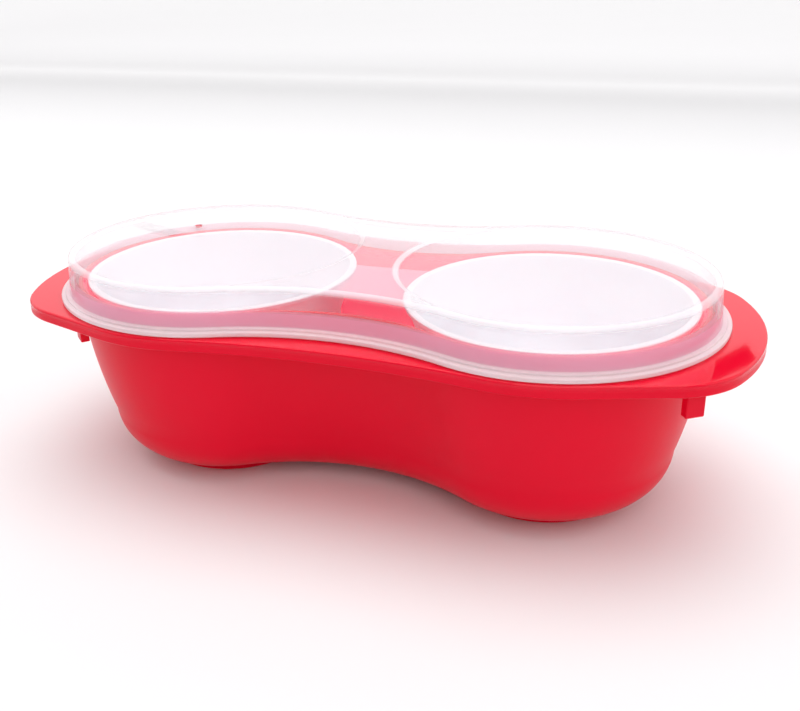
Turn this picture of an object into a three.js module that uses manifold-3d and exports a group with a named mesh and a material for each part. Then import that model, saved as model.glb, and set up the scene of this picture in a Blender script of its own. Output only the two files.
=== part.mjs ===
// Microwave egg cooker: a red tub, a two-cup egg tray and a clear peanut-shaped lid.
// Millimetres, +Z up. The origin is on the table, under the middle of the tub.
import * as THREE from "three";
import { mergeVertices } from "three/addons/utils/BufferGeometryUtils.js";
import Module from "manifold-3d";

const wasm = await Module();
wasm.setup();

// ---- driving dimensions ----
const HALF_LENGTH = 120; // middle of the cooker to the tip of an ear
const LOBE_X = 56; // middle of the cooker to the middle of a lobe
const FLANGE_Z = 59.5; // table to the top of the tub's flange
const GAP = 0.4; // air between pieces that rest on each other

// a peanut outline has round lobes and a hollow waist
const TUB = { lobe: 48.3, waist: 33 };
const LID = { lobe: 54, waist: 42.8 };
const FLANGE = { lobe: 54.4, waist: 49.4 };

const FOOT_HEIGHT = 3.2;
const FOOT_RADIUS = 27;
const FOOT_WALL = 3;
const FOOT_FLARE = 0.6; // how much wider a foot is where it meets the tub
const TUB_WALL = 2;
const TUB_CORNER = 16; // radius between the tub's wall and its bottom
const WALL_DRAFT = 0.03; // how fast the wall leans in just under the flange
const WALL_BULGE = 0.0033; // how much more it leans in for each mm further down
const RIM_HEIGHT = 5.4; // the tub's rim above its flange
const RIM_EDGE = 0.5; // bevel on the rim's outer edge
const RIM_TAPER = 0.4; // the rim is this much thinner at its top
const LEDGE_DROP = 2; // the ledge for the tray, below the rim's top
const LEDGE_WIDTH = 1.5;
const TUB_THICKNESS = 3; // the tub's wall and bottom below the ledge
const FLANGE_THICKNESS = 1.8;
const SKIRT_HEIGHT = 3.8;
const SKIRT_WALL = 1.6;
const EAR = { endRadius: 70.5, cornerRadius: 26.5, cornerAngle: 0.434 };
// ribs that hang under the near side of each ear; each has a twin half a turn away
const RIB = { length: 5.6, thickness: 2.8, drop: 12 };
const RIBS = [{ x: 101.7, y: -35.6, turn: 0.61 }, { x: -90.5, y: -35.7, turn: -0.73 }];

const TRAY_RADIUS = 45.2; // one disc of the tray
const TRAY_THICKNESS = 1.5;
const WEB_HALF_WIDTH = 15; // the bridge between the tray's two discs
const WEB_DROP = 0.5; // the bridge lies a little lower than the discs
const CUP_MOUTH = 42.6;
const CUP_DEPTH = 36;
const CUP_WALL = 1.5;
const CUP_ROUND = 20; // radius between a cup's wall and its floor
const CUP_TAPER = 5; // a cup is this much narrower at the top of that radius
const CUP_LIP = 3; // upright part of a cup's wall at its mouth
const WEB_REACH = 20; // the bridge runs this far to each side, into the discs

const LID_TOP = 14.3; // the lid's top above the flange
const LID_FOOT = 1.8; // height of the lid's outer edge
const LID_STEP = 2.5; // height of the step inside that edge
const LID_ROOF = 1.6; // thickness of the lid's top
const LID_SHOULDER = 1.2; // radius between the lid's wall and its top
// how far the lid's faces lie inside its outline
const LID_SKIN = { edge: 1.4, foot: 2.8, wallTop: 3.6, inTop: 5, inStep: 4.3, inFoot: 3.4 };
const LID_EDGE = 0.3; // bevel under the lid's outer edge
const PANEL_RADIUS = 48.2; // the sunk round panels in the lid
const PANEL_DROP = 0.6;
const PANEL_SLOPE = 0.6; // how far a panel's sloping edge runs in
const VENTS = [{ angle: 2.46, reach: 22 }, { angle: 2.9, reach: 24.5 }];
const VENT = { hole: 1.1, boss: 2.8, top: 2.1, height: 1, root: 0.5 };

const OVERRUN = 1; // how far a tool reaches past what it cuts
const FLUSH = 0.01; // lifts a cut's edge clear of the face that it meets
const ARC_STEP = THREE.MathUtils.degToRad(10); // how finely outlines are cut
const ROUND_SEGMENTS = 44; // round the cups and feet

// ---- outlines ----
function arcPoints(x, y, radius, from, to) {
  const steps = Math.max(2, Math.ceil(Math.abs(to - from) / ARC_STEP));
  const points = [];
  for (let i = 0; i <= steps; i++) {
    const angle = from + ((to - from) * i) / steps;
    points.push(new THREE.Vector2(x + radius * Math.cos(angle), y + radius * Math.sin(angle)));
  }
  return points;
}

// the circle that makes the waist touches both lobes from outside
function waistCircle(family) {
  const { lobe, waist } = family;
  const radius = (LOBE_X ** 2 + waist ** 2 - lobe ** 2) / (2 * (lobe - waist));
  return { radius, y: waist + radius };
}

// the quarter with +x and +y, mirrored to the whole outline, anticlockwise
function mirrorQuarter(quarter) {
  const flip = (points, sx, sy) => points.map((p) => new THREE.Vector2(p.x * sx, p.y * sy));
  const back = [...quarter].reverse();
  const all = [...quarter, ...flip(back, -1, 1), ...flip(quarter, -1, -1), ...flip(back, 1, -1)];
  return all.filter((p, i) => p.distanceTo(all[(i + 1) % all.length]) > 1e-6);
}

function waistArc(family, offset) {
  const circle = waistCircle(family);
  const end = Math.atan2(-circle.y, LOBE_X);
  return arcPoints(0, circle.y, circle.radius - offset, end, -Math.PI / 2);
}

function peanut(family, offset) {
  const circle = waistCircle(family);
  const turn = Math.atan2(circle.y, -LOBE_X);
  const lobe = arcPoints(LOBE_X, 0, family.lobe + offset, 0, turn);
  return mirrorQuarter([...lobe, ...waistArc(family, offset).slice(1)]);
}

// the flange follows the lobes and runs out into an ear at each end
function flangeOutline(inset) {
  const { endRadius, cornerRadius, cornerAngle } = EAR;
  const endX = HALF_LENGTH - endRadius;
  const toCorner = endRadius - cornerRadius;
  const cornerX = endX + toCorner * Math.cos(cornerAngle);
  const cornerY = toCorner * Math.sin(cornerAngle);
  const apart = Math.hypot(cornerX - LOBE_X, cornerY);
  const lean = Math.acos((FLANGE.lobe - cornerRadius) / apart);
  const tangent = Math.atan2(cornerY, cornerX - LOBE_X) + lean;
  const circle = waistCircle(FLANGE);
  const turn = Math.atan2(circle.y, -LOBE_X);
  return mirrorQuarter([
    ...arcPoints(endX, 0, endRadius - inset, 0, cornerAngle),
    ...arcPoints(cornerX, cornerY, cornerRadius - inset, cornerAngle, tangent).slice(1),
    ...arcPoints(LOBE_X, 0, FLANGE.lobe - inset, tangent, turn),
    ...waistArc(FLANGE, -inset).slice(1),
  ]);
}

// ---- solids ----
function toSolid(geometry) {
  const bare = geometry.index ? geometry.clone() : geometry;
  bare.deleteAttribute("normal");
  bare.deleteAttribute("uv");
  const merged = mergeVertices(bare, 1e-4);
  const index = merged.index.array;
  const kept = [];
  for (let i = 0; i < index.length; i += 3) {
    const [a, b, c] = index.subarray(i, i + 3);
    if (a !== b && b !== c && c !== a) kept.push(a, b, c);
  }
  return new wasm.Manifold(new wasm.Mesh({
    numProp: 3,
    vertProperties: new Float32Array(merged.attributes.position.array),
    triVerts: new Uint32Array(kept),
  }));
}

function plate(outline, low, high) {
  const geometry = new THREE.ExtrudeGeometry(new THREE.Shape(outline), {
    depth: high - low,
    bevelEnabled: false,
  });
  geometry.translate(0, 0, low);
  return toSolid(geometry);
}

// rings of one outline family, given as [offset, z], from the first cap to the last
function shell(family, profile) {
  const rings = profile.map(([offset, z]) => peanut(family, offset).map((p) => [p.x, p.y, z]));
  const count = rings[0].length;
  const positions = rings.flat(2);
  const index = [];
  for (let k = 0; k + 1 < rings.length; k++) {
    for (let j = 0; j < count; j++) {
      const next = (j + 1) % count;
      const [a, b] = [k * count + j, k * count + next];
      const [c, d] = [b + count, a + count];
      index.push(a, b, c, a, c, d);
    }
  }
  const cap = (k, flip) => {
    const outline = rings[k].map(([x, y]) => new THREE.Vector2(x, y));
    for (const [a, b, c] of THREE.ShapeUtils.triangulateShape(outline, [])) {
      const [p, q, r] = [a, b, c].map((i) => i + k * count);
      index.push(...(flip ? [p, r, q] : [p, q, r]));
    }
  };
  cap(0, true);
  cap(rings.length - 1, false);
  const geometry = new THREE.BufferGeometry();
  geometry.setAttribute("position", new THREE.Float32BufferAttribute(positions, 3));
  geometry.setIndex(index);
  return toSolid(geometry);
}

// a body turned about a vertical axis at x, y; the profile of [radius, z] starts and ends on it
function turned(profile, x, y) {
  const points = profile.map(([radius, z]) => new THREE.Vector2(radius, z));
  const geometry = new THREE.LatheGeometry(points, ROUND_SEGMENTS);
  geometry.rotateX(Math.PI / 2);
  geometry.translate(x, y, 0);
  return toSolid(geometry);
}

function arcProfile(across, z, radius, from, to, steps) {
  return Array.from({ length: steps + 1 }, (_, i) => {
    const angle = from + ((to - from) * i) / steps;
    return [across + radius * Math.cos(angle), z + radius * Math.sin(angle)];
  });
}

function joined(first, ...others) {
  return others.reduce((whole, other) => whole.add(other), first);
}

function cut(whole, ...tools) {
  return tools.reduce((rest, tool) => rest.subtract(tool), whole);
}

const BOTH_LOBES = [-LOBE_X, LOBE_X];

// ---- the tub ----
// offset of the tub's outer wall from its top outline, falling in a long slight bulge
function wallOffset(drop) {
  return -WALL_DRAFT * drop - WALL_BULGE * drop ** 2;
}

function tubProfile(thickness) {
  const bottom = FOOT_HEIGHT + thickness;
  const cornerTop = FLANGE_Z - bottom - TUB_CORNER;
  const cornerOffset = wallOffset(cornerTop) - thickness;
  const corner = arcProfile(cornerOffset - TUB_CORNER, bottom + TUB_CORNER, TUB_CORNER,
    -Math.PI / 2, 0, 4);
  const wall = [0.65, 0.3, 0].map((t) => {
    const drop = cornerTop * t;
    return [wallOffset(drop) - thickness, FLANGE_Z - drop];
  });
  return [...corner, ...wall];
}

function buildTub() {
  const rimTop = FLANGE_Z + RIM_HEIGHT;
  const ledge = rimTop - LEDGE_DROP;
  const inside = tubProfile(TUB_THICKNESS);
  const tub = shell(TUB, [
    ...tubProfile(0), [0, rimTop - RIM_EDGE], [-RIM_EDGE, rimTop],
    [-TUB_WALL + RIM_TAPER, rimTop], [-TUB_WALL, ledge], [-TUB_WALL - LEDGE_WIDTH, ledge],
    ...inside.reverse(),
  ]);
  const underside = FLANGE_Z - FLANGE_THICKNESS;
  const skirtFoot = FLANGE_Z - SKIRT_HEIGHT;
  const hole = shell(TUB, [[-OVERRUN, skirtFoot - OVERRUN], [-OVERRUN, FLANGE_Z + OVERRUN]]);
  const flange = cut(plate(flangeOutline(0), underside, FLANGE_Z), hole);
  const skirt = cut(plate(flangeOutline(0), skirtFoot, FLANGE_Z),
    plate(flangeOutline(SKIRT_WALL), skirtFoot - OVERRUN, FLANGE_Z + OVERRUN));
  const footTop = FOOT_HEIGHT + OVERRUN;
  const footInside = FOOT_RADIUS - FOOT_WALL;
  const feet = BOTH_LOBES.map((x) => cut(
    turned([[0, 0], [FOOT_RADIUS, 0], [FOOT_RADIUS + FOOT_FLARE, footTop], [0, footTop]], x, 0),
    turned([[0, -OVERRUN], [footInside, -OVERRUN], [footInside, FOOT_HEIGHT], [0, FOOT_HEIGHT]],
      x, 0),
  ));
  return joined(tub, flange, skirt, ...feet, ...buildRibs());
}

function buildRibs() {
  const top = FLANGE_Z - OVERRUN;
  const height = RIB.drop - OVERRUN;
  return [0, Math.PI].flatMap((half) => RIBS.map(({ x, y, turn }) => {
    const box = new THREE.BoxGeometry(RIB.length, RIB.thickness, height);
    box.rotateZ(turn);
    box.translate(x, y, top - height / 2);
    box.rotateZ(half);
    return toSolid(box);
  }));
}

// ---- the egg tray ----
function buildTray() {
  const low = FLANGE_Z + RIM_HEIGHT - LEDGE_DROP + GAP;
  const high = low + TRAY_THICKNESS;
  const floorZ = high - CUP_DEPTH;
  const foot = CUP_MOUTH - CUP_TAPER - CUP_ROUND;
  const bowl = (grow) => [
    [0, floorZ - grow],
    ...arcProfile(foot, floorZ + CUP_ROUND, CUP_ROUND + grow, -Math.PI / 2, 0, 5),
    [CUP_MOUTH + grow, high - CUP_LIP],
  ];
  const discs = BOTH_LOBES.map((x) => turned(
    [[0, low], [TRAY_RADIUS, low], [TRAY_RADIUS, high], [0, high]], x, 0));
  const web = plate([[1, 1], [-1, 1], [-1, -1], [1, -1]].map(
    ([sx, sy]) => new THREE.Vector2(sx * WEB_REACH, sy * WEB_HALF_WIDTH)), low, high - WEB_DROP);
  const cups = BOTH_LOBES.map((x) => turned(
    [...bowl(CUP_WALL), [CUP_MOUTH + CUP_WALL, high], [0, high]], x, 0));
  const hollows = BOTH_LOBES.map((x) => turned(
    [...bowl(0), [CUP_MOUTH, high + OVERRUN], [0, high + OVERRUN]], x, 0));
  return cut(joined(...discs, web, ...cups), ...hollows);
}

// ---- the lid ----
function buildLid() {
  const z = (height) => FLANGE_Z + height;
  const roof = z(LID_TOP - LID_ROOF);
  const { edge, foot, wallTop, inTop, inStep, inFoot } = LID_SKIN;
  const lid = shell(LID, [
    [-inTop - LID_SHOULDER, roof], [-inTop, roof - LID_ROOF / 2], [-inStep, z(LID_STEP)],
    [-inFoot, z(GAP)], [-LID_EDGE, z(GAP)], [0, z(GAP + LID_EDGE)], [0, z(LID_FOOT)],
    [-edge, z(LID_FOOT)], [-edge, z(LID_STEP)], [-foot, z(LID_STEP)],
    ...arcProfile(-wallTop - LID_SHOULDER, z(LID_TOP - LID_SHOULDER), LID_SHOULDER,
      0, Math.PI / 2, 3),
  ]);
  const top = z(LID_TOP - PANEL_DROP);
  const over = z(LID_TOP + OVERRUN);
  const panels = BOTH_LOBES.map((x) => turned([
    [0, top], [PANEL_RADIUS - PANEL_SLOPE, top], [PANEL_RADIUS, z(LID_TOP + FLUSH)],
    [PANEL_RADIUS, over], [0, over],
  ], x, 0));
  const places = VENTS.map(({ angle, reach }) => [
    -LOBE_X + reach * Math.cos(angle), reach * Math.sin(angle)]);
  const bossTop = top + VENT.height;
  const bosses = places.map(([x, y]) => turned(
    [[0, top - VENT.root], [VENT.boss, top - VENT.root], [VENT.boss, top], [VENT.top, bossTop],
      [0, bossTop]], x, y));
  const holes = places.map(([x, y]) => turned(
    [[0, roof - OVERRUN], [VENT.hole, roof - OVERRUN], [VENT.hole, bossTop + OVERRUN],
      [0, bossTop + OVERRUN]], x, y));
  return cut(joined(cut(lid, ...panels), ...bosses), ...holes);
}

// ---- the scene graph ----
function piece(name, solid, material) {
  const { numProp, vertProperties, triVerts } = solid.getMesh();
  if (numProp !== 3) throw new Error("a solid holds positions only");
  const geometry = new THREE.BufferGeometry();
  geometry.setAttribute("position", new THREE.BufferAttribute(vertProperties, 3));
  geometry.setIndex(new THREE.BufferAttribute(triVerts, 1));
  geometry.computeVertexNormals();
  const mesh = new THREE.Mesh(geometry, new THREE.MeshStandardMaterial(material));
  mesh.name = name;
  return mesh;
}

const cooker = new THREE.Group();
cooker.add(piece("base_tub", buildTub(), { color: 0xd8101c, roughness: 0.4, metalness: 0 }));
cooker.add(piece("egg_tray", buildTray(), { color: 0xf4eef6, roughness: 0.35, metalness: 0 }));
cooker.add(piece("lid", buildLid(), { color: 0xf3e6ee, roughness: 0.25, metalness: 0 }));

export default cooker;
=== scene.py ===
"""Looks of a two-cup microwave egg cooker: a red tub, a white egg tray and a milky lid.

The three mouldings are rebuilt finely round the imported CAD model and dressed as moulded
polypropylene. Lengths are in millimetres here and become metres as the meshes are made.
"""

import logging
import math
from collections.abc import Iterable, Mapping, Sequence
from dataclasses import dataclass, field
from enum import Enum

import bmesh
import bpy
from mathutils import Matrix, Vector

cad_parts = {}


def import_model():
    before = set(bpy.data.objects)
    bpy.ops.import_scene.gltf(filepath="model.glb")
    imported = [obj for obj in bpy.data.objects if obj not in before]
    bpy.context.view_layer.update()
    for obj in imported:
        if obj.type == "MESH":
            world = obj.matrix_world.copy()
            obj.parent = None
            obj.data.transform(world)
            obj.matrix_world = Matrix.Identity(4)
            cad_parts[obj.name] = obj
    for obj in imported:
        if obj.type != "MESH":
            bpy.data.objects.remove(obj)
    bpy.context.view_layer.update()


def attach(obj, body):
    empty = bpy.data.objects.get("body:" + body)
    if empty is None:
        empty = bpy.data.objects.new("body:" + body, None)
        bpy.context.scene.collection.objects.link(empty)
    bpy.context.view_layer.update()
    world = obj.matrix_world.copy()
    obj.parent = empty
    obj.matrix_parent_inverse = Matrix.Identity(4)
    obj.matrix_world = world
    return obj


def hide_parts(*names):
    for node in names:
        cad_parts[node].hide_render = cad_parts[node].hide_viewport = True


LOG = logging.getLogger("egg_cooker")
MM = 0.001

Point = tuple[float, float]
Profile = list[Point]
Band = tuple[float, float]  # where a fade starts and where it is complete
Colour = tuple[float, float, float, float]

LOBE_X = 56.0  # middle of the cooker to the middle of a lobe
FLANGE_Z = 59.5  # table to the top of the tub's flange
GAP = 0.4  # air between pieces that rest on each other
SWEEP_STEP = math.radians(2.5)  # how finely outlines are swept
LEAST_STEPS = 3  # even the shortest arc has this many
ROUND_STEPS = 144  # round cups, panels and feet
MERGE = 0.004  # points closer than this become one
SEAM = 0.02  # mirrored halves meet within this
LEVEL = 0.01  # heights closer than this are the same
PLASTIC_IOR = 1.49  # polypropylene


class Lobe(Enum):
    """The two round halves of the cooker."""

    LEFT = -LOBE_X
    RIGHT = LOBE_X


class Join(Enum):
    """What a boolean modifier does with its tool."""

    ADD = "UNION"
    CUT = "DIFFERENCE"


# ---- outlines ----
@dataclass(frozen=True)
class Arc:
    """One arc of an outline: its centre, how far it turns, and a straight run before it."""

    x: float
    y: float
    turn: float
    run: Point = (0.0, 0.0)


@dataclass(frozen=True)
class Peanut:
    """An outline with two round lobes and a hollow waist."""

    lobe: float
    waist: float

    @property
    def start(self) -> float:
        """Where the outline crosses the x axis."""
        return LOBE_X + self.lobe

    @property
    def waist_y(self) -> float:
        """Height of the centre of the circle that makes the waist."""
        apart = LOBE_X**2 + self.waist**2 - self.lobe**2
        return self.waist + apart / (2 * (self.lobe - self.waist))

    @property
    def lobe_turn(self) -> float:
        """Angle at the lobe's centre from the x axis to the start of the waist."""
        return math.atan2(self.waist_y, -LOBE_X)

    @property
    def waist_arc(self) -> Arc:
        """The waist's arc, which turns against the lobe's."""
        return Arc(0.0, self.waist_y, -math.atan2(LOBE_X, self.waist_y))

    def arcs(self) -> list[Arc]:
        """The arcs of the quarter with +x and +y, from the x axis to the y axis."""
        return [Arc(LOBE_X, 0.0, self.lobe_turn), self.waist_arc]


@dataclass(frozen=True)
class Eared(Peanut):
    """A peanut that runs out into a broad ear at each end."""

    half_length: float = 120.0
    end_radius: float = 70.5
    corner_radius: float = 26.5
    corner_angle: float = 0.434

    @property
    def start(self) -> float:
        """Where the outline crosses the x axis."""
        return self.half_length

    def arcs(self) -> list[Arc]:
        """The arcs of the quarter with +x and +y, from the x axis to the y axis."""
        end_x = self.half_length - self.end_radius
        reach = self.end_radius - self.corner_radius
        x = end_x + reach * math.cos(self.corner_angle)
        y = reach * math.sin(self.corner_angle)
        lean = math.acos((self.lobe - self.corner_radius) / math.hypot(x - LOBE_X, y))
        tangent = math.atan2(y, x - LOBE_X) + lean
        grow = self.lobe - self.corner_radius
        run = (LOBE_X - x + grow * math.cos(tangent), grow * math.sin(tangent) - y)
        return [
            Arc(end_x, 0.0, self.corner_angle),
            Arc(x, y, tangent - self.corner_angle),
            Arc(LOBE_X, 0.0, self.lobe_turn - tangent, run),
            self.waist_arc,
        ]


def rounded(centre: Point, radius: float, start: float, end: float, steps: int) -> Profile:
    """Points of an arc in a profile.

    Args:
        centre: Offset and height of the arc's centre.
        radius: The arc's radius.
        start: Angle of the first point, in degrees from the outward direction.
        end: Angle of the last point.
        steps: How many pieces the arc is cut into.

    Returns:
        The points, from first to last.
    """
    angles = [math.radians(start + (end - start) * i / steps) for i in range(steps + 1)]
    return [(centre[0] + radius * math.cos(a), centre[1] + radius * math.sin(a)) for a in angles]


# ---- modelling ----
class Bench:
    """The modelling steps that the mouldings share, each made with Blender's operators."""

    @staticmethod
    def clear() -> None:
        """Leaves object mode on and nothing selected."""
        if bpy.context.object and bpy.context.object.mode != "OBJECT":
            bpy.ops.object.mode_set(mode="OBJECT")
        bpy.ops.object.select_all(action="DESELECT")

    @staticmethod
    def edit(piece: bpy.types.Object) -> None:
        """Makes a piece the only one selected and opens it for editing, all selected."""
        Bench.clear()
        bpy.context.view_layer.objects.active = piece
        piece.select_set(True)
        bpy.ops.object.mode_set(mode="EDIT")
        bpy.ops.mesh.select_mode(type="VERT")
        bpy.ops.mesh.select_all(action="SELECT")

    @staticmethod
    def name(label: str) -> bpy.types.Object:
        """Names the object that was just made, and its mesh."""
        piece = bpy.context.object
        piece.name = piece.data.name = label
        return piece

    @staticmethod
    def draw(label: str, start: float, profile: Profile) -> bpy.types.Object:
        """Draws a profile as a chain of edges in the x-z plane, left open in edit mode.

        Args:
            label: The new object's name.
            start: The x that offset 0 stands for.
            profile: Offsets outwards and heights.

        Returns:
            The new object.
        """
        Bench.clear()
        bpy.ops.mesh.primitive_plane_add(size=MM)
        piece = Bench.name(label)
        bpy.ops.object.mode_set(mode="EDIT")
        bpy.ops.mesh.select_mode(type="VERT")
        bpy.ops.mesh.select_all(action="SELECT")
        bpy.ops.mesh.merge(type="CENTER")
        across, height = profile[0]
        bpy.ops.transform.translate(value=Vector((start + across, 0, height)) * MM)
        for before, after in zip(profile, profile[1:]):
            move = Vector((after[0] - before[0], 0, after[1] - before[1])) * MM
            bpy.ops.mesh.extrude_region_move(TRANSFORM_OT_translate={"value": move})
        bpy.ops.mesh.select_all(action="SELECT")
        return piece

    @staticmethod
    def seal() -> None:
        """Merges doubles and turns all faces outwards, in edit mode."""
        bpy.ops.mesh.select_all(action="SELECT")
        bpy.ops.mesh.remove_doubles(threshold=MERGE * MM)
        bpy.ops.mesh.normals_make_consistent(inside=False)

    @staticmethod
    def sweep(label: str, outline: Peanut, profile: Profile) -> bpy.types.Object:
        """Sweeps a profile along an outline and caps the loops at its first and last point.

        Args:
            label: The new object's name.
            outline: What the profile follows.
            profile: Offsets from the outline and heights, from one cap to the other.

        Returns:
            The new closed piece.
        """
        piece = Bench.draw(label, outline.start, profile)
        for arc in outline.arcs():
            if any(arc.run):
                move = Vector((*arc.run, 0)) * MM
                bpy.ops.mesh.extrude_region_move(TRANSFORM_OT_translate={"value": move})
            bpy.ops.mesh.spin(
                steps=max(LEAST_STEPS, math.ceil(abs(arc.turn) / SWEEP_STEP)),
                angle=-arc.turn,
                center=(arc.x * MM, arc.y * MM, 0),
                axis=(0, 0, 1),
            )
        bpy.ops.object.mode_set(mode="OBJECT")
        bpy.ops.object.modifier_add(type="MIRROR")
        mirror = piece.modifiers[-1]
        mirror.use_axis = (True, True, False)
        mirror.merge_threshold = SEAM * MM
        bpy.ops.object.modifier_apply(modifier=mirror.name)
        Bench.edit(piece)
        bpy.ops.mesh.remove_doubles(threshold=MERGE * MM)
        for _, height in (profile[0], profile[-1]):
            Bench.cap(piece, height)
        Bench.seal()
        bpy.ops.object.mode_set(mode="OBJECT")
        return piece

    @staticmethod
    def cap(piece: bpy.types.Object, height: float) -> None:
        """Fills the open loop of edges at a height, in edit mode.

        Args:
            piece: The piece that is open for editing.
            height: Where the loop lies, in millimetres.
        """
        bpy.ops.mesh.select_mode(type="EDGE")
        bpy.ops.mesh.select_all(action="DESELECT")
        mesh = bmesh.from_edit_mesh(piece.data)
        for edge in mesh.edges:
            level = all(abs(v.co.z - height * MM) < LEVEL * MM for v in edge.verts)
            edge.select_set(edge.is_boundary and level)
        bmesh.update_edit_mesh(piece.data)
        bpy.ops.mesh.edge_face_add()

    @staticmethod
    def turn(label: str, profile: Profile, x: float, y: float = 0.0) -> bpy.types.Object:
        """Spins a profile about a vertical axis into a closed round body.

        Args:
            label: The new object's name.
            profile: Radii and heights, starting and ending on the axis.
            x: The axis's x.
            y: The axis's y.

        Returns:
            The new closed piece.
        """
        piece = Bench.draw(label, x, profile)
        bpy.ops.transform.translate(value=(0, y * MM, 0))
        bpy.ops.mesh.spin(
            steps=ROUND_STEPS, angle=math.tau, center=(x * MM, y * MM, 0), axis=(0, 0, 1)
        )
        Bench.seal()
        bpy.ops.object.mode_set(mode="OBJECT")
        return piece

    @staticmethod
    def block(label: str, size: Sequence[float], bevel: float) -> bpy.types.Object:
        """A block at the origin with softened edges.

        Args:
            label: The new object's name.
            size: Its length, thickness and height.
            bevel: How broad the softening of its edges is.

        Returns:
            The new closed piece.
        """
        Bench.clear()
        bpy.ops.mesh.primitive_cube_add(size=MM)
        piece = Bench.name(label)
        Bench.edit(piece)
        bpy.ops.transform.resize(value=size)
        bpy.ops.mesh.bevel(offset=bevel * MM, segments=3, affect="EDGES")
        bpy.ops.object.mode_set(mode="OBJECT")
        return piece

    @staticmethod
    def place(piece: bpy.types.Object, turn: float, at: Sequence[float]) -> bpy.types.Object:
        """Turns a piece about the upright axis at the origin, then moves it, in its mesh.

        Args:
            piece: What is moved.
            turn: The angle, in radians.
            at: How far it is moved.

        Returns:
            The same piece.
        """
        move = Matrix.Translation(Vector(at) * MM)
        piece.data.transform(move @ Matrix.Rotation(turn, 4, "Z"))
        return piece

    @staticmethod
    def combine(piece: bpy.types.Object, tool: bpy.types.Object, join: Join) -> None:
        """Adds a tool to a piece or cuts it out, and removes the tool.

        Args:
            piece: What is changed.
            tool: The closed body that is added or cut out.
            join: Which of the two.
        """
        Bench.clear()
        bpy.context.view_layer.objects.active = piece
        piece.select_set(True)
        bpy.ops.object.modifier_add(type="BOOLEAN")
        boolean = piece.modifiers[-1]
        boolean.operation = join.value
        boolean.solver = "EXACT"
        boolean.object = tool
        bpy.ops.object.modifier_apply(modifier=boolean.name)
        bpy.data.objects.remove(tool)

    @staticmethod
    def smooth(piece: bpy.types.Object, degrees: float) -> None:
        """Shades a piece smooth, apart from sharper edges, and keeps its broad faces flat.

        Args:
            piece: What is shaded.
            degrees: Edges sharper than this stay sharp.
        """
        Bench.clear()
        bpy.context.view_layer.objects.active = piece
        piece.select_set(True)
        bpy.ops.object.shade_smooth_by_angle(angle=math.radians(degrees))
        bpy.ops.object.modifier_add(type="WEIGHTED_NORMAL")
        weighted = piece.modifiers[-1]
        weighted.keep_sharp = True
        weighted.weight = 100
        bpy.ops.object.modifier_apply(modifier=weighted.name)


# ---- shader nodes ----
class Wire:
    """A shader value; arithmetic on it adds Math nodes."""

    def __init__(self, graph: "Graph", socket: bpy.types.NodeSocket) -> None:
        """Wraps an output socket of a graph."""
        self.graph = graph
        self.socket = socket

    def math(self, operation: str, *values: "Wire | float") -> "Wire":
        """Adds a Math node.

        Args:
            operation: What it works out.
            values: Its inputs, or nothing for this value alone.

        Returns:
            Its result.
        """
        inputs = dict(enumerate(values or (self,)))
        return self.graph.node("ShaderNodeMath", {"operation": operation}, inputs)

    def __add__(self, other: "Wire | float") -> "Wire":
        """This value plus another."""
        return self.math("ADD", self, other)

    def __radd__(self, other: float) -> "Wire":
        """A number plus this value."""
        return self.math("ADD", other, self)

    def __sub__(self, other: "Wire | float") -> "Wire":
        """This value less another."""
        return self.math("SUBTRACT", self, other)

    def __rsub__(self, other: float) -> "Wire":
        """A number less this value."""
        return self.math("SUBTRACT", other, self)

    def __mul__(self, other: "Wire | float") -> "Wire":
        """This value times another."""
        return self.math("MULTIPLY", self, other)

    def __rmul__(self, other: float) -> "Wire":
        """A number times this value."""
        return self.math("MULTIPLY", other, self)

    def __abs__(self) -> "Wire":
        """This value without its sign."""
        return self.math("ABSOLUTE")

    def fade(self, low: float, high: float) -> "Wire":
        """A smooth ramp from 0 to 1, rising or falling along this value.

        Args:
            low: Where the ramp is 0.
            high: Where the ramp is 1; less than low for a falling ramp.

        Returns:
            The ramp.
        """
        settings = {"interpolation_type": "SMOOTHSTEP"}
        flip = low > high
        ends = (high, low) if flip else (low, high)
        inputs = {"Value": self, "From Min": ends[0], "From Max": ends[1]}
        ramp = self.graph.node("ShaderNodeMapRange", settings, inputs)
        return 1.0 - ramp if flip else ramp


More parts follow.
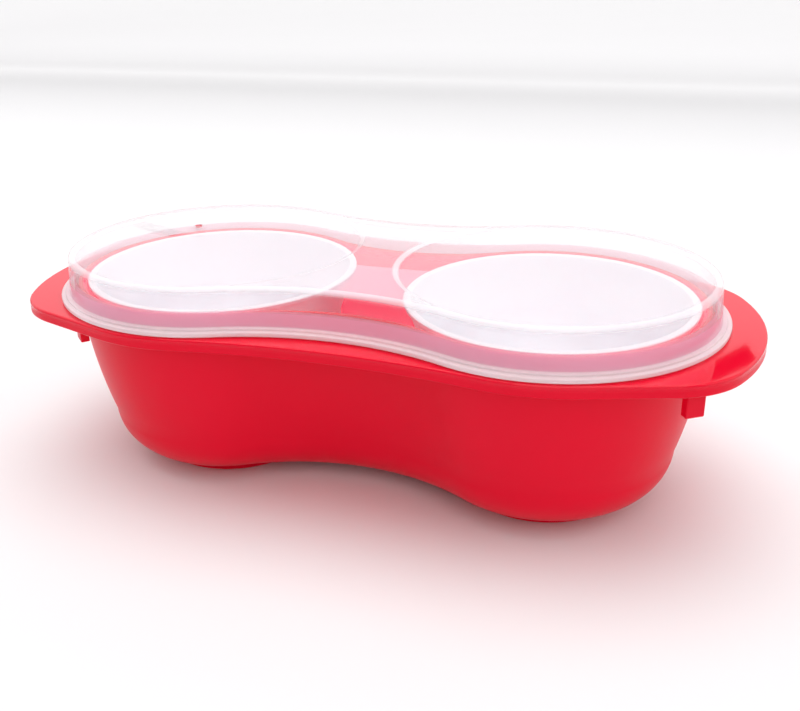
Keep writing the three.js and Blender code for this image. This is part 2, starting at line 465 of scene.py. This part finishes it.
class Graph:
    """The node tree of one material."""

    def __init__(self, label: str) -> None:
        """Makes an empty material with an output and a Principled shader."""
        self.material = bpy.data.materials.new(label)
        self.material.use_nodes = True
        self.tree = self.material.node_tree
        self.shader = self.tree.nodes["Principled BSDF"]

    def node(
        self,
        kind: str,
        settings: Mapping[str, object],
        inputs: Mapping[int | str, object],
        output: int | str = 0,
    ) -> Wire:
        """Adds a node.

        Args:
            kind: The node's type.
            settings: Its options, which are set first.
            inputs: Numbers, colours or wires for its sockets.
            output: Which of its outputs is wanted.

        Returns:
            That output.
        """
        made = self.tree.nodes.new(kind)
        for key, value in settings.items():
            setattr(made, key, value)
        for key, value in inputs.items():
            self.feed(made.inputs[key], value)
        return Wire(self, made.outputs[output])

    def feed(self, socket: bpy.types.NodeSocket, value: object) -> None:
        """Links a wire to a socket, or sets its value."""
        if isinstance(value, Wire):
            self.tree.links.new(value.socket, socket)
        else:
            socket.default_value = value

    def place(self) -> Wire:
        """The point on the piece, in metres."""
        return self.node("ShaderNodeTexCoord", {}, {}, "Object")

    def axes(self) -> tuple[Wire, Wire, Wire]:
        """Splits the point on the piece.

        Returns:
            Its x, y and z in millimetres.
        """
        split = self.node("ShaderNodeSeparateXYZ", {}, {0: self.place()})
        outs = split.socket.node.outputs
        return tuple(Wire(self, outs[i]) * (1 / MM) for i in range(3))

    def reach(self, across: Wire, along: Wire) -> Wire:
        """The distance of a point from the middle, given its two coordinates."""
        return (across * across + along * along).math("SQRT")

    def past_waist(self, outline: Peanut, x: Wire, y: Wire) -> Wire:
        """How far a point near the middle lies outside an outline's waist."""
        return outline.waist_y - outline.waist - self.reach(x, abs(y) - outline.waist_y)

    def noise(self, size: float, detail: float) -> Wire:
        """Soft noise from 0 to 1 with features of a size in millimetres."""
        inputs = {"Vector": self.place(), "Scale": 1 / (size * MM), "Detail": detail}
        return self.node("ShaderNodeTexNoise", {}, inputs, "Fac")

    def blend(self, factor: Wire | float, first: object, second: object) -> Wire:
        """A colour between two colours."""
        settings = {"data_type": "RGBA"}
        return self.node("ShaderNodeMix", settings, {0: factor, 6: first, 7: second}, 2)

    def bump(self, height: Wire, depth: float) -> Wire:
        """A normal from a height, with its depth in millimetres."""
        inputs = {"Height": height, "Distance": depth * MM, "Strength": 1.0}
        return self.node("ShaderNodeBump", {}, inputs, "Normal")

    def dress(self, **values: object) -> None:
        """Sets or links the Principled shader's sockets.

        Args:
            values: Numbers, colours or wires by socket name, with _ for a space.
        """
        for key, value in values.items():
            self.feed(self.shader.inputs[key.replace("_", " ")], value)


# ---- finishes ----
@dataclass(frozen=True)
class RedPlastic:
    """Satin red polypropylene, glossier on top of the flange and the ears, with a painted pink
    glow on the tub's inner walls.
    """

    light: Colour = (0.84, 0.001, 0.026, 1)
    dark: Colour = (0.80, 0.001, 0.022, 1)
    mottle_size: float = 26.0
    roughness: float = 0.34
    mottle_roughness: float = 0.02
    polish: float = 0.30
    specular: float = 0.15
    coat: float = 0.35
    coat_roughness: float = 0.03
    grain_size: float = 1.1
    grain_depth: float = 0.006
    gloss_heights: Band = (57.4, 59.3)
    # glow is painted light: the emission that makes the tub's inner walls glow pink, though they
    # are no lamp; shade, black, adds nothing elsewhere
    glow: Colour = (0.44, 0.004, 0.06, 1)
    shade: Colour = (0.0, 0.0, 0.0, 1)
    painted_glow_start: Band = (14.0, 24.0)
    painted_glow_end: Band = (64.7, 64.3)
    painted_glow_side: Band = (-1.2, -1.8)  # offsets from the wall's outer face
    waist_ends: Band = (31.4, 30.9)

    def build(self) -> bpy.types.Material:
        """Makes the material."""
        graph = Graph("red_polypropylene")
        x, y, z = graph.axes()
        mottle = graph.noise(self.mottle_size, 1)
        top = z.fade(*self.gloss_heights)
        graph.dress(
            Base_Color=graph.blend(mottle, self.dark, self.light),
            Roughness=self.roughness + mottle * self.mottle_roughness - top * self.polish,
            # painted glow on the tub's inner walls
            Emission_Color=graph.blend(self.inside(graph, x, y, z), self.shade, self.glow),
            Emission_Strength=1.0,
            Normal=graph.bump(graph.noise(self.grain_size, 2), self.grain_depth),
            IOR=PLASTIC_IOR,
            Specular_IOR_Level=self.specular,
            Coat_Weight=top * self.coat,
            Coat_Roughness=self.coat_roughness,
        )
        return graph.material

    def inside(self, graph: Graph, x: Wire, y: Wire, z: Wire) -> Wire:
        """Where a painted glow lights the tub's inner walls, standing in for the light that the
        thin walls let into the tub.

        Args:
            graph: The material's graph.
            x: The point's x in millimetres.
            y: The point's y in millimetres.
            z: The point's z in millimetres.

        Returns:
            1 on the tub's inner walls, 0 elsewhere.
        """
        outline = Tub.wall_outline
        lobe = graph.reach(abs(x) - LOBE_X, y) - outline.lobe
        middle = abs(x).fade(*self.waist_ends)
        offset = middle * graph.past_waist(outline, x, y) + (1.0 - middle) * lobe
        drop = FLANGE_Z - z
        lean = drop * Tub.draft + drop * drop * Tub.bulge
        inner = (offset + lean).fade(*self.painted_glow_side)
        return inner * z.fade(*self.painted_glow_end) * z.fade(*self.painted_glow_start)


@dataclass(frozen=True)
class WhitePlastic:
    """Lavender-white polypropylene whose thin bridge lets some red through and is painted pink for
    the red light under it.
    """

    light: Colour = (0.935, 0.93, 0.972, 1)
    dark: Colour = (0.92, 0.91, 0.958, 1)
    # painted red light: the bridge's pink colour stands in for red light under it; its partial
    # see-through alpha is real
    painted_red_light: Colour = (0.95, 0.30, 0.48, 1)
    mottle_size: float = 14.0
    roughness: float = 0.32
    mottle_roughness: float = 0.03
    grain_size: float = 0.8
    grain_depth: float = 0.004
    depth_weight: float = 0.3
    depth_scale: float = 3.0
    depth_colour: tuple[float, float, float] = (1.0, 0.7, 0.7)
    thin_alpha: float = 0.62
    bridge_start: Band = (45.0, 45.5)  # distances from the middle of a cup
    bridge_heights: Band = (61.0, 62.5)

    def build(self) -> bpy.types.Material:
        """Makes the material."""
        graph = Graph("white_polypropylene")
        x, y, z = graph.axes()
        mottle = graph.noise(self.mottle_size, 2)
        reach = graph.reach(abs(x) - LOBE_X, y)
        thin = reach.fade(*self.bridge_start) * z.fade(*self.bridge_heights)
        white = graph.blend(mottle, self.dark, self.light)
        graph.dress(
            # the bridge is see-through in part and painted pink for the red light under it
            Base_Color=graph.blend(thin, white, self.painted_red_light),
            Roughness=self.roughness + mottle * self.mottle_roughness,
            Alpha=1.0 - thin * (1.0 - self.thin_alpha),
            Normal=graph.bump(graph.noise(self.grain_size, 2), self.grain_depth),
            Subsurface_Weight=self.depth_weight,
            Subsurface_Radius=self.depth_colour,
            Subsurface_Scale=self.depth_scale * MM,
            IOR=PLASTIC_IOR,
        )
        return graph.material


@dataclass(frozen=True)
class MilkyPlastic:
    """Milky see-through polypropylene: clear panels, a frosted saddle and denser walls, with
    painted pink low on the walls, a painted highlight on the shoulder and a brighter painted right
    bead.
    """

    tint: Colour = (0.95, 0.885, 0.955, 1)
    warm: Colour = (0.97, 0.93, 0.93, 1)
    # painted red light: pink painted low on the lid's walls for the red light of the tub behind
    # them
    painted_red_light: Colour = (1.0, 0.54, 0.72, 1)
    vent_blush: Colour = (0.75, 0.004, 0.02, 1)
    roughness: float = 0.12
    cloud_size: float = 9.0
    cloud_roughness: float = 0.05
    cloud_alpha: float = 0.02
    panel_alpha: float = 0.13
    saddle_alpha: float = 0.17
    # denser white on the lid's rounded shoulder, partly real and partly a painted highlight along
    # its fold
    shoulder_highlight_alpha: float = 0.42
    bead_alpha: float = 0.62
    vent_alpha: float = 0.6
    painted_red_alpha: float = 0.32
    flange_alpha: float = 0.47
    wall_low: float = 0.12
    wall_high: float = 0.06
    edge_alpha: float = 0.34
    edge_blend: float = 0.35
    # painted shade: the left bead is painted fainter than the right, for how the light falls on
    # them
    painted_dim_left_bead: float = 0.5  # strength of the left bead beside the right one
    panel: float = 47.4
    saddle_start: Band = (47.4, 48.4)  # distances from the middle of a lobe
    shoulder_start: Band = (47.8, 48.6)
    bead_width: Band = (1.3, 0.4)
    vent_ring: Band = (1.6, 1.2)
    saddle_ends: Band = (34.0, 22.0)  # distances from the middle of the cooker
    bead_ends: Band = (34.0, 18.0)
    bead_sides: Band = (-2.0, 2.0)
    waist_ends: Band = (33.0, 29.0)
    waist_shoulder: Band = (-6.2, -5.6)  # offsets from the lid's outline
    roof_heights: Band = (72.6, 73.0)
    shoulder_heights: Band = (72.2, 73.0)
    vent_heights: Band = (73.4, 73.6)
    wall_heights: Band = (72.4, 71.0)
    wall_thinning: Band = (62.0, 72.0)
    painted_red_heights: Band = (66.8, 66.2)
    flange_heights: Band = (62.4, 61.9)

    def build(self) -> bpy.types.Material:
        """Makes the material."""
        graph = Graph("milky_polypropylene")
        x, y, z = graph.axes()
        reach = graph.reach(abs(x) - LOBE_X, y)
        roof = z.fade(*self.roof_heights)
        saddle = reach.fade(*self.saddle_start) * abs(x).fade(*self.saddle_ends) * roof
        # painted shade: the left bead is fainter than the right
        side = self.painted_dim_left_bead + x.fade(*self.bead_sides) * (1.0 - self.painted_dim_left_bead)
        ridge = abs(reach - self.panel).fade(*self.bead_width)
        bead = ridge * abs(x).fade(*self.bead_ends) * roof * side
        middle = abs(x).fade(*self.waist_ends)
        rounds = reach.fade(*self.shoulder_start) * (1.0 - middle)
        bend = graph.past_waist(Lid.outline, x, y).fade(*self.waist_shoulder) * middle
        # the shoulder's denser white is partly a painted highlight
        shoulder = z.fade(*self.shoulder_heights) * (rounds + bend)
        vent_x, vent_y = Lid.vent_place(*Lid.vents[0])
        vent = graph.reach(x - vent_x, y - vent_y).fade(*self.vent_ring)
        vent = vent * z.fade(*self.vent_heights)
        wall = z.fade(*self.wall_heights)
        wall_alpha = self.wall_low + z.fade(*self.wall_thinning) * (self.wall_high - self.wall_low)
        flange = z.fade(*self.flange_heights)
        # painted red light: the pink band low on the walls, above the flange
        painted_red_light = z.fade(*self.painted_red_heights) * (1.0 - flange)
        cloud = graph.noise(self.cloud_size, 2)
        edge_on = {"Blend": self.edge_blend}
        facing = graph.node("ShaderNodeLayerWeight", {}, edge_on, "Facing")
        alpha = (
            self.panel_alpha
            + saddle * (self.saddle_alpha - self.panel_alpha)
            + bead * (self.bead_alpha - self.saddle_alpha)
            + shoulder * (self.shoulder_highlight_alpha - self.panel_alpha)
            + vent * self.vent_alpha
            + wall * (wall_alpha - self.panel_alpha)
            + painted_red_light * self.painted_red_alpha
            + flange * (self.flange_alpha - wall_alpha)
            + facing * facing * self.edge_alpha
            + (cloud - 0.5) * self.cloud_alpha
        )
        milky = graph.blend(cloud, self.tint, self.warm)
        rosy = graph.blend(painted_red_light, milky, self.painted_red_light)
        graph.dress(
            Base_Color=graph.blend(vent, rosy, self.vent_blush),
            Roughness=self.roughness + (cloud - 0.5) * self.cloud_roughness,
            Alpha=alpha,
            IOR=PLASTIC_IOR,
        )
        return graph.material


@dataclass(frozen=True)
class StudioPaper:
    """The pale sheet that the cooker stands on."""

    light: Colour = (0.85, 0.84, 0.848, 1)
    dark: Colour = (0.84, 0.83, 0.838, 1)
    mottle_size: float = 220.0
    roughness: float = 0.5
    specular: float = 0.05
    grain_size: float = 1.2
    grain_depth: float = 0.004

    def build(self) -> bpy.types.Material:
        """Makes the material."""
        graph = Graph("studio_paper")
        graph.dress(
            Base_Color=graph.blend(graph.noise(self.mottle_size, 2), self.dark, self.light),
            Roughness=self.roughness,
            Specular_IOR_Level=self.specular,
            Normal=graph.bump(graph.noise(self.grain_size, 2), self.grain_depth),
        )
        return graph.material


# ---- the three mouldings ----
@dataclass
class Moulding:
    """What every moulding of the cooker has in common."""

    label: str
    body: str
    node: str
    slot: str
    finish: RedPlastic | WhitePlastic | MilkyPlastic
    crease: float = 32.0

    def shape(self) -> bpy.types.Object:
        """Makes the moulding's mesh."""
        raise NotImplementedError

    def build(self) -> bpy.types.Object:
        """Makes, dresses and mounts the moulding.

        Returns:
            The finished piece.
        """
        piece = self.shape()
        Bench.edit(piece)
        Bench.seal()
        Bench.smooth(piece, self.crease)
        piece.data.materials.clear()
        piece.data.materials.append(self.finish.build())
        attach(piece, self.body)
        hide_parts(self.node)
        return piece


@dataclass
class Tub(Moulding):
    """The deep red tub with its rim, flange, ears, feet and ribs."""

    label: str = "tub_moulding"
    body: str = "tub"
    node: str = "base_tub"
    slot: str = "red_plastic"
    finish: RedPlastic = field(default_factory=RedPlastic)
    wall_outline: Peanut = Peanut(48.3, 33.0)
    flange_outline: Eared = Eared(54.4, 49.4)
    foot_height: float = 3.2
    foot_radius: float = 27.0
    foot_wall: float = 3.0
    foot_root: float = 1.5  # how far a foot runs up into the bottom
    foot_flare: float = 0.6
    foot_bevels: tuple[float, float] = (0.4, 0.5)  # inner and outer
    corner: float = 16.0
    draft: float = 0.03
    bulge: float = 0.0033
    wall: float = 2.0
    inner_face: float = 3.0  # the wall below the ledge is this thick
    rim: float = 5.4
    rim_taper: float = 0.4
    ledge_drop: float = 2.0
    ledge_end: float = 3.1
    ledge_round: float = 0.4
    flange: float = 1.8
    flange_reach: float = 18.0  # the flange runs this far in before the tub is cut out of it
    flange_bite: float = 1.0  # and keeps this much of its plate in the tub's wall
    overrun: float = 2.0
    skirt_height: float = 3.8
    skirt_wall: float = 1.6
    skirt_bevels: tuple[float, float] = (0.3, 0.2)
    edge: float = 0.7
    rib_size: tuple[float, float, float] = (5.6, 2.8, 12.0)
    rib_root: float = 1.0  # a rib starts this far below the flange's top
    rib_bevel: float = 0.35
    ribs: tuple[tuple[float, float, float], ...] = (
        (101.7, -35.6, 0.61),
        (-90.5, -35.7, -0.73),
    )

    def wall_offset(self, drop: float) -> float:
        """How far the wall leans in at a drop below the flange."""
        return -self.draft * drop - self.bulge * drop**2

    def side(self, thickness: float) -> Profile:
        """The wall from the bottom's corner up to the flange, that much inside its face."""
        bottom = self.foot_height + thickness
        drop = FLANGE_Z - bottom - self.corner
        centre = (self.wall_offset(drop) - thickness - self.corner, bottom + self.corner)
        drops = [drop * (1 - i / 12) for i in range(1, 13)]
        up = [(self.wall_offset(d) - thickness, FLANGE_Z - d) for d in drops]
        return rounded(centre, self.corner, -90, 0, 14) + up

    def shell(self) -> bpy.types.Object:
        """The tub's walls, bottom and rim."""
        top = FLANGE_Z + self.rim
        ledge = top - self.ledge_drop
        lip = 0.5 * (self.wall - self.rim_taper)
        soft = self.ledge_round
        profile = [
            *self.side(0.0),
            *rounded((-lip, top - lip), lip, 0, 180, 10),
            *rounded((-self.wall + soft, ledge + soft), soft, 180, 270, 3)[1:],
            (-self.ledge_end, ledge),
            *rounded((-self.inner_face + soft, ledge - soft), soft, 90, 180, 3),
            *reversed(self.side(self.inner_face)),
        ]
        return Bench.sweep(self.label, self.wall_outline, profile)

    def collar(self) -> bpy.types.Object:
        """The flange with its skirt and ears, open in the middle."""
        under = FLANGE_Z - self.flange
        foot = FLANGE_Z - self.skirt_height
        soft, fine = self.skirt_bevels
        profile = [
            (-self.flange_reach, under),
            (-self.skirt_wall - soft, under),
            *rounded((-self.skirt_wall - soft, under - soft), soft, 90, 0, 2)[1:],
            (-self.skirt_wall, foot + fine),
            (-self.skirt_wall + fine, foot),
            (-soft, foot),
            (0.0, foot + soft),
            *rounded((-self.edge, FLANGE_Z - self.edge), self.edge, 0, 90, 6),
            (-self.flange_reach, FLANGE_Z),
        ]
        collar = Bench.sweep("collar", self.flange_outline, profile)
        inside = -self.flange_bite
        cut = [(inside, foot - self.overrun), (inside, FLANGE_Z + self.overrun)]
        hole = Bench.sweep("hole", self.wall_outline, cut)
        Bench.combine(collar, hole, Join.CUT)
        return collar

    def feet(self) -> Iterable[bpy.types.Object]:
        """A standing ring under each lobe."""
        outside = self.foot_radius
        inside = outside - self.foot_wall
        top = self.foot_height + self.foot_root
        inner, outer = self.foot_bevels
        profile = [
            (inside, top),
            (inside, inner),
            (inside + inner, 0.0),
            (outside - outer, 0.0),
            (outside, outer),
            (outside + self.foot_flare, top),
            (inside, top),
        ]
        for lobe in Lobe:
            yield Bench.turn(f"foot_{lobe.name}", profile, lobe.value)

    def hang_ribs(self) -> Iterable[bpy.types.Object]:
        """A short rib under each corner of each ear, its twin half a turn away."""
        length, thickness, drop = self.rib_size
        height = drop - self.rib_root
        middle = FLANGE_Z - self.rib_root - height / 2
        for half in (0.0, math.pi):
            for x, y, turn in self.ribs:
                rib = Bench.block("rib", (length, thickness, height), self.rib_bevel)
                Bench.place(rib, turn, (x, y, middle))
                yield Bench.place(rib, half, (0, 0, 0))

    def shape(self) -> bpy.types.Object:
        """Joins the tub's parts into one moulding."""
        tub = self.shell()
        for part in (self.collar(), *self.feet(), *self.hang_ribs()):
            Bench.combine(tub, part, Join.ADD)
        return tub


@dataclass
class Tray(Moulding):
    """The white tray: two round cups joined by a thin bridge."""

    label: str = "tray_moulding"
    body: str = "tray"
    node: str = "egg_tray"
    slot: str = "white_plastic"
    finish: WhitePlastic = field(default_factory=WhitePlastic)
    disc: float = 45.2
    thickness: float = 1.5
    bridge_half: float = 15.0
    bridge_drop: float = 0.5
    mouth: float = 42.6
    depth: float = 36.0
    wall: float = 1.5
    floor_round: float = 20.0
    taper: float = 5.0  # a cup is this much narrower at the top of its round
    brim_round: float = 0.6
    disc_round: float = 0.5
    ring_bevel: float = 0.3
    bridge_length: float = 40.0
    bridge_bevel: float = 0.25
    bridge_inset: float = 0.8  # how far the bridge reaches in under a ring's edge
    bridge_cut: Band = (50.0, 80.0)  # heights of the tool that shapes the bridge's ends
    low: float = FLANGE_Z + Tub.rim - Tub.ledge_drop + GAP

    def cup(self, lobe: Lobe) -> bpy.types.Object:
        """One cup with the ring that it hangs by."""
        high = self.low + self.thickness
        floor = high - self.depth
        foot = self.mouth - self.taper - self.floor_round
        centre = (foot, floor + self.floor_round)
        bevel, edge, brim = self.ring_bevel, self.disc_round, self.brim_round
        inner = [(0.0, floor), *rounded(centre, self.floor_round, -90, 0, 16)]
        outer = [
            (0.0, floor - self.wall),
            *rounded(centre, self.floor_round + self.wall, -90, 0, 16),
        ]
        profile = [
            *outer,
            (self.mouth + self.wall - bevel, self.low - 2 * bevel),
            (self.mouth + self.wall, self.low),
            (self.disc - bevel, self.low),
            *rounded((self.disc - edge, high - edge), edge, 0, 90, 4),
            *rounded((self.mouth + brim, high - brim), brim, 90, 180, 4),
            *reversed(inner),
        ]
        return Bench.turn(f"cup_{lobe.name}", profile, lobe.value)

    def bridge(self) -> bpy.types.Object:
        """The thin plate between the cups, its ends following their rings."""
        thick = self.thickness - self.bridge_drop
        size = (self.bridge_length, 2 * self.bridge_half, thick)
        plate = Bench.block("bridge", size, self.bridge_bevel)
        Bench.place(plate, 0.0, (0, 0, self.low + thick / 2))
        inside = self.disc - self.bridge_inset
        under, over = self.bridge_cut
        profile = [(0, under), (inside, under), (inside, over), (0, over)]
        for lobe in Lobe:
            Bench.combine(plate, Bench.turn("cutter", profile, lobe.value), Join.CUT)
        return plate

    def shape(self) -> bpy.types.Object:
        """Joins the cups and the bridge."""
        tray = self.cup(Lobe.LEFT)
        tray.name = tray.data.name = self.label
        Bench.combine(tray, self.bridge(), Join.ADD)
        Bench.combine(tray, self.cup(Lobe.RIGHT), Join.ADD)
        return tray


@dataclass
class Lid(Moulding):
    """The milky lid with its stepped edge, sunk round panels and two vents."""

    label: str = "lid_moulding"
    body: str = "cover"
    node: str = "lid"
    slot: str = "clear_plastic"
    finish: MilkyPlastic = field(default_factory=MilkyPlastic)
    outline: Peanut = Peanut(54.0, 42.8)
    top: float = 14.3
    roof: float = 1.6
    foot: float = 1.8
    step: float = 2.5
    panel: float = 48.2
    panel_drop: float = 0.7
    panel_slope: float = 1.6
    vents: tuple[Point, ...] = ((2.46, 22.0), (2.9, 24.5))
    vent_hole: float = 1.1
    vent_boss: float = 2.8
    vent_top: float = 2.1
    vent_height: float = 1.0
    vent_round: float = 0.3
    vent_root: float = 0.5  # how far a boss reaches down into the roof
    vent_cut: float = 5.0  # how far the hole's tool reaches up and down

    def shell(self) -> bpy.types.Object:
        """The lid's walls and roof, before the panels are sunk."""
        z = FLANGE_Z
        roof = z + self.top - self.roof
        profile = [
            (-6.2, roof),
            *rounded((-6.2, roof - 1.0), 1.0, 90, 0, 5)[1:],
            (-4.3, z + self.step),
            (-3.4, z + GAP),
            (-0.3, z + GAP),
            (0.0, z + GAP + 0.3),
            *rounded((-0.35, z + self.foot - 0.35), 0.35, 0, 90, 3),
            (-1.2, z + self.foot),
            (-1.4, z + self.foot + 0.15),
            *rounded((-1.65, z + self.step - 0.25), 0.25, 0, 90, 3),
            (-2.6, z + self.step),
            (-2.8, z + self.step + 0.2),
            (-3.6, z + self.top - 1.4),
            *rounded((-4.8, z + self.top - 1.2), 1.2, 0, 90, 8),
        ]
        return Bench.sweep(self.label, self.outline, profile)

    def panel_tool(self, lobe: Lobe) -> bpy.types.Object:
        """What sinks one round panel into the roof."""
        top = FLANGE_Z + self.top
        floor = top - self.panel_drop
        inside = self.panel - self.panel_slope
        profile = [
            (0.0, floor),
            (inside - 0.5, floor),
            (inside, floor + 0.06),
            (self.panel - 0.3, top - 0.08),
            (self.panel, top + 0.01),
            (self.panel + 0.3, top + 0.5),
            (0.0, top + 0.5),
        ]
        return Bench.turn("panel", profile, lobe.value)

    @staticmethod
    def vent_place(angle: float, reach: float) -> Point:
        """Where a vent stands, given as it is seen from the middle of the left lobe."""
        return Lobe.LEFT.value + reach * math.cos(angle), reach * math.sin(angle)

    def shape(self) -> bpy.types.Object:
        """Sinks the panels and adds the vents."""
        lid = self.shell()
        for lobe in Lobe:
            Bench.combine(lid, self.panel_tool(lobe), Join.CUT)
        base = FLANGE_Z + self.top - self.panel_drop
        high = base + self.vent_height
        soft = self.vent_round
        boss = [
            (0.0, base - self.vent_root),
            (self.vent_boss, base - self.vent_root),
            (self.vent_boss, base),
            *rounded((self.vent_top - soft, high - soft), soft, 30, 90, 3),
            (0.0, high),
        ]
        hole = [
            (0.0, base - self.vent_cut),
            (self.vent_hole, base - self.vent_cut),
            (self.vent_hole, base + self.vent_cut),
            (0.0, base + self.vent_cut),
        ]
        for vent in self.vents:
            x, y = self.vent_place(*vent)
            Bench.combine(lid, Bench.turn("boss", boss, x, y), Join.ADD)
            Bench.combine(lid, Bench.turn("hole", hole, x, y), Join.CUT)
        return lid


# ---- the studio ----
@dataclass
class Studio:
    """The pale sheet, the room and cards round it, the lamps and the camera."""

    azimuth: float = 18.94
    elevation: float = 23.22
    roll: float = -0.95
    distance: float = 0.3163
    target: tuple[float, float, float] = (0.00695, 0.0, 0.03894)
    lens: float = 42.57
    sensor: float = 36.0
    clip: float = 0.01
    sheet_side: float = 16.0
    sheet_border: float = 0.4
    card_thickness: float = 0.004
    card_bevel: float = 0.001
    room: float = 15.0
    sky: Colour = (1.0, 0.995, 1.0, 1)
    sky_strength: float = 0.31
    lamps: tuple[tuple[str, tuple[float, float, float], float, float], ...] = (
        ("top", (0.0, 0.1, 1.3), 60.0, 1.80),
        ("front", (0.35, -1.0, 0.9), 50.0, 0.72),
        ("left", (-1.1, 0.25, 0.7), 50.0, 0.55),
        ("right", (1.2, 0.15, 0.7), 50.0, 0.55),
    )

    def sheet(self) -> None:
        """A broad flat sheet, far larger than the view."""
        Bench.clear()
        bpy.ops.mesh.primitive_plane_add(size=1.0)
        sheet = Bench.name("studio_sheet")
        Bench.edit(sheet)
        bpy.ops.transform.resize(value=(self.sheet_side, self.sheet_side, 1.0))
        bpy.ops.mesh.inset(thickness=self.sheet_border)
        bpy.ops.object.mode_set(mode="OBJECT")
        sheet.data.materials.append(StudioPaper().build())

    def card(
        self, label: str, at: Sequence[float], size: Point, glow: float, tilt: float = 0.0
    ) -> None:
        """Stands an upright card over the sheet, which reflections show and the camera doesn't.

        Args:
            label: The card's name.
            at: Its middle, in metres.
            size: Its width and height, in metres.
            glow: How brightly it shines; 0 leaves it black.
            tilt: How far it is turned in its own plane, in degrees.
        """
        Bench.clear()
        bpy.ops.mesh.primitive_cube_add(size=1.0)
        card = Bench.name(label)
        Bench.edit(card)
        bpy.ops.transform.resize(value=(size[0], self.card_thickness, size[1]))
        bpy.ops.mesh.bevel(offset=self.card_bevel, segments=1, affect="EDGES")
        bpy.ops.object.mode_set(mode="OBJECT")
        turn = Matrix.Rotation(math.radians(tilt), 4, "Y")
        card.data.transform(Matrix.Translation(at) @ turn)
        graph = Graph(label)
        cloth = graph.noise(30, 2)
        graph.dress(
            Base_Color=graph.blend(cloth, (0.02, 0.02, 0.02, 1), (0.03, 0.03, 0.03, 1)),
            Roughness=0.8,
            Emission_Color=graph.blend(cloth, (0.98, 0.98, 1, 1), (1, 1, 1, 1)),
            Emission_Strength=glow,
            Specular_IOR_Level=0.0,
        )
        card.data.materials.append(graph.material)
        card.visible_camera = False

    def dome(self) -> None:
        """A white room round the sheet that only the camera sees."""
        Bench.clear()
        bpy.ops.mesh.primitive_cube_add(size=self.room)
        dome = Bench.name("studio_room")
        Bench.edit(dome)
        bpy.ops.mesh.bevel(offset=self.room / 5, segments=8, affect="EDGES")
        bpy.ops.object.mode_set(mode="OBJECT")
        graph = Graph("studio_room")
        haze = graph.noise(4000, 1)
        graph.dress(
            Base_Color=graph.blend(haze, (0.0, 0.0, 0.0, 1), (0.01, 0.01, 0.01, 1)),
            Emission_Color=graph.blend(haze, (0.965, 0.955, 0.96, 1), (0.97, 0.96, 0.965, 1)),
            Emission_Strength=1.0,
            Specular_IOR_Level=0.0,
        )
        dome.data.materials.append(graph.material)
        dome.visible_diffuse = dome.visible_glossy = dome.visible_shadow = False

    def light(self) -> None:
        """Hangs the soft lamps and lights the room."""
        for label, at, spread, power in self.lamps:
            bpy.ops.object.light_add(type="SUN", location=at)
            lamp = bpy.context.object
            lamp.name = f"lamp_{label}"
            lamp.data.angle = math.radians(spread)
            lamp.data.energy = power
            lamp.rotation_euler = (-Vector(at)).to_track_quat("-Z", "Y").to_euler()
        world = bpy.data.worlds.new("studio_room")
        bpy.context.scene.world = world
        world.use_nodes = True
        background = world.node_tree.nodes["Background"]
        background.inputs["Color"].default_value = self.sky
        background.inputs["Strength"].default_value = self.sky_strength
        bpy.context.scene.view_settings.view_transform = "Standard"

    def camera(self) -> None:
        """Sets the camera at the viewing angle, with its slight roll."""
        azimuth, elevation = math.radians(self.azimuth), math.radians(self.elevation)
        right = Vector((math.cos(azimuth), math.sin(azimuth), 0))
        back = Vector(
            (
                math.sin(azimuth) * math.cos(elevation),
                -math.cos(azimuth) * math.cos(elevation),
                math.sin(elevation),
            )
        )
        turn = Matrix.Rotation(math.radians(self.roll), 3, back)
        right = turn @ right
        up = back.cross(right)
        place = Vector(self.target) + back * self.distance
        bpy.ops.object.camera_add()
        camera = bpy.context.object
        camera.name = "studio_camera"
        facing = Matrix((right, up, back)).transposed().to_4x4()
        camera.matrix_world = Matrix.Translation(place) @ facing
        camera.data.sensor_width = self.sensor
        camera.data.lens = self.lens
        camera.data.clip_start = self.clip
        bpy.context.scene.camera = camera

    def build(self) -> None:
        """Sets up the whole studio."""
        Bench.clear()
        self.sheet()
        self.dome()
        self.card("back_card", (0.0, 1.0, 0.62), (3.4, 0.8), 1.0)
        self.card("dark_card", (0.110, 0.3, 0.204), (0.058, 0.013), 0.0, 37.0)
        self.light()
        self.camera()
        LOG.info("studio: %d lamps", len(self.lamps))


def main() -> None:
    """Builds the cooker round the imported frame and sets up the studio."""
    logging.basicConfig(level=logging.INFO, format="%(name)s: %(message)s")
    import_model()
    for moulding in (Tub(), Tray(), Lid()):
        piece = moulding.build()
        LOG.info("%s: %d faces on %s", piece.name, len(piece.data.polygons), moulding.body)
    Studio().build()


if __name__ == "__main__":
    main()
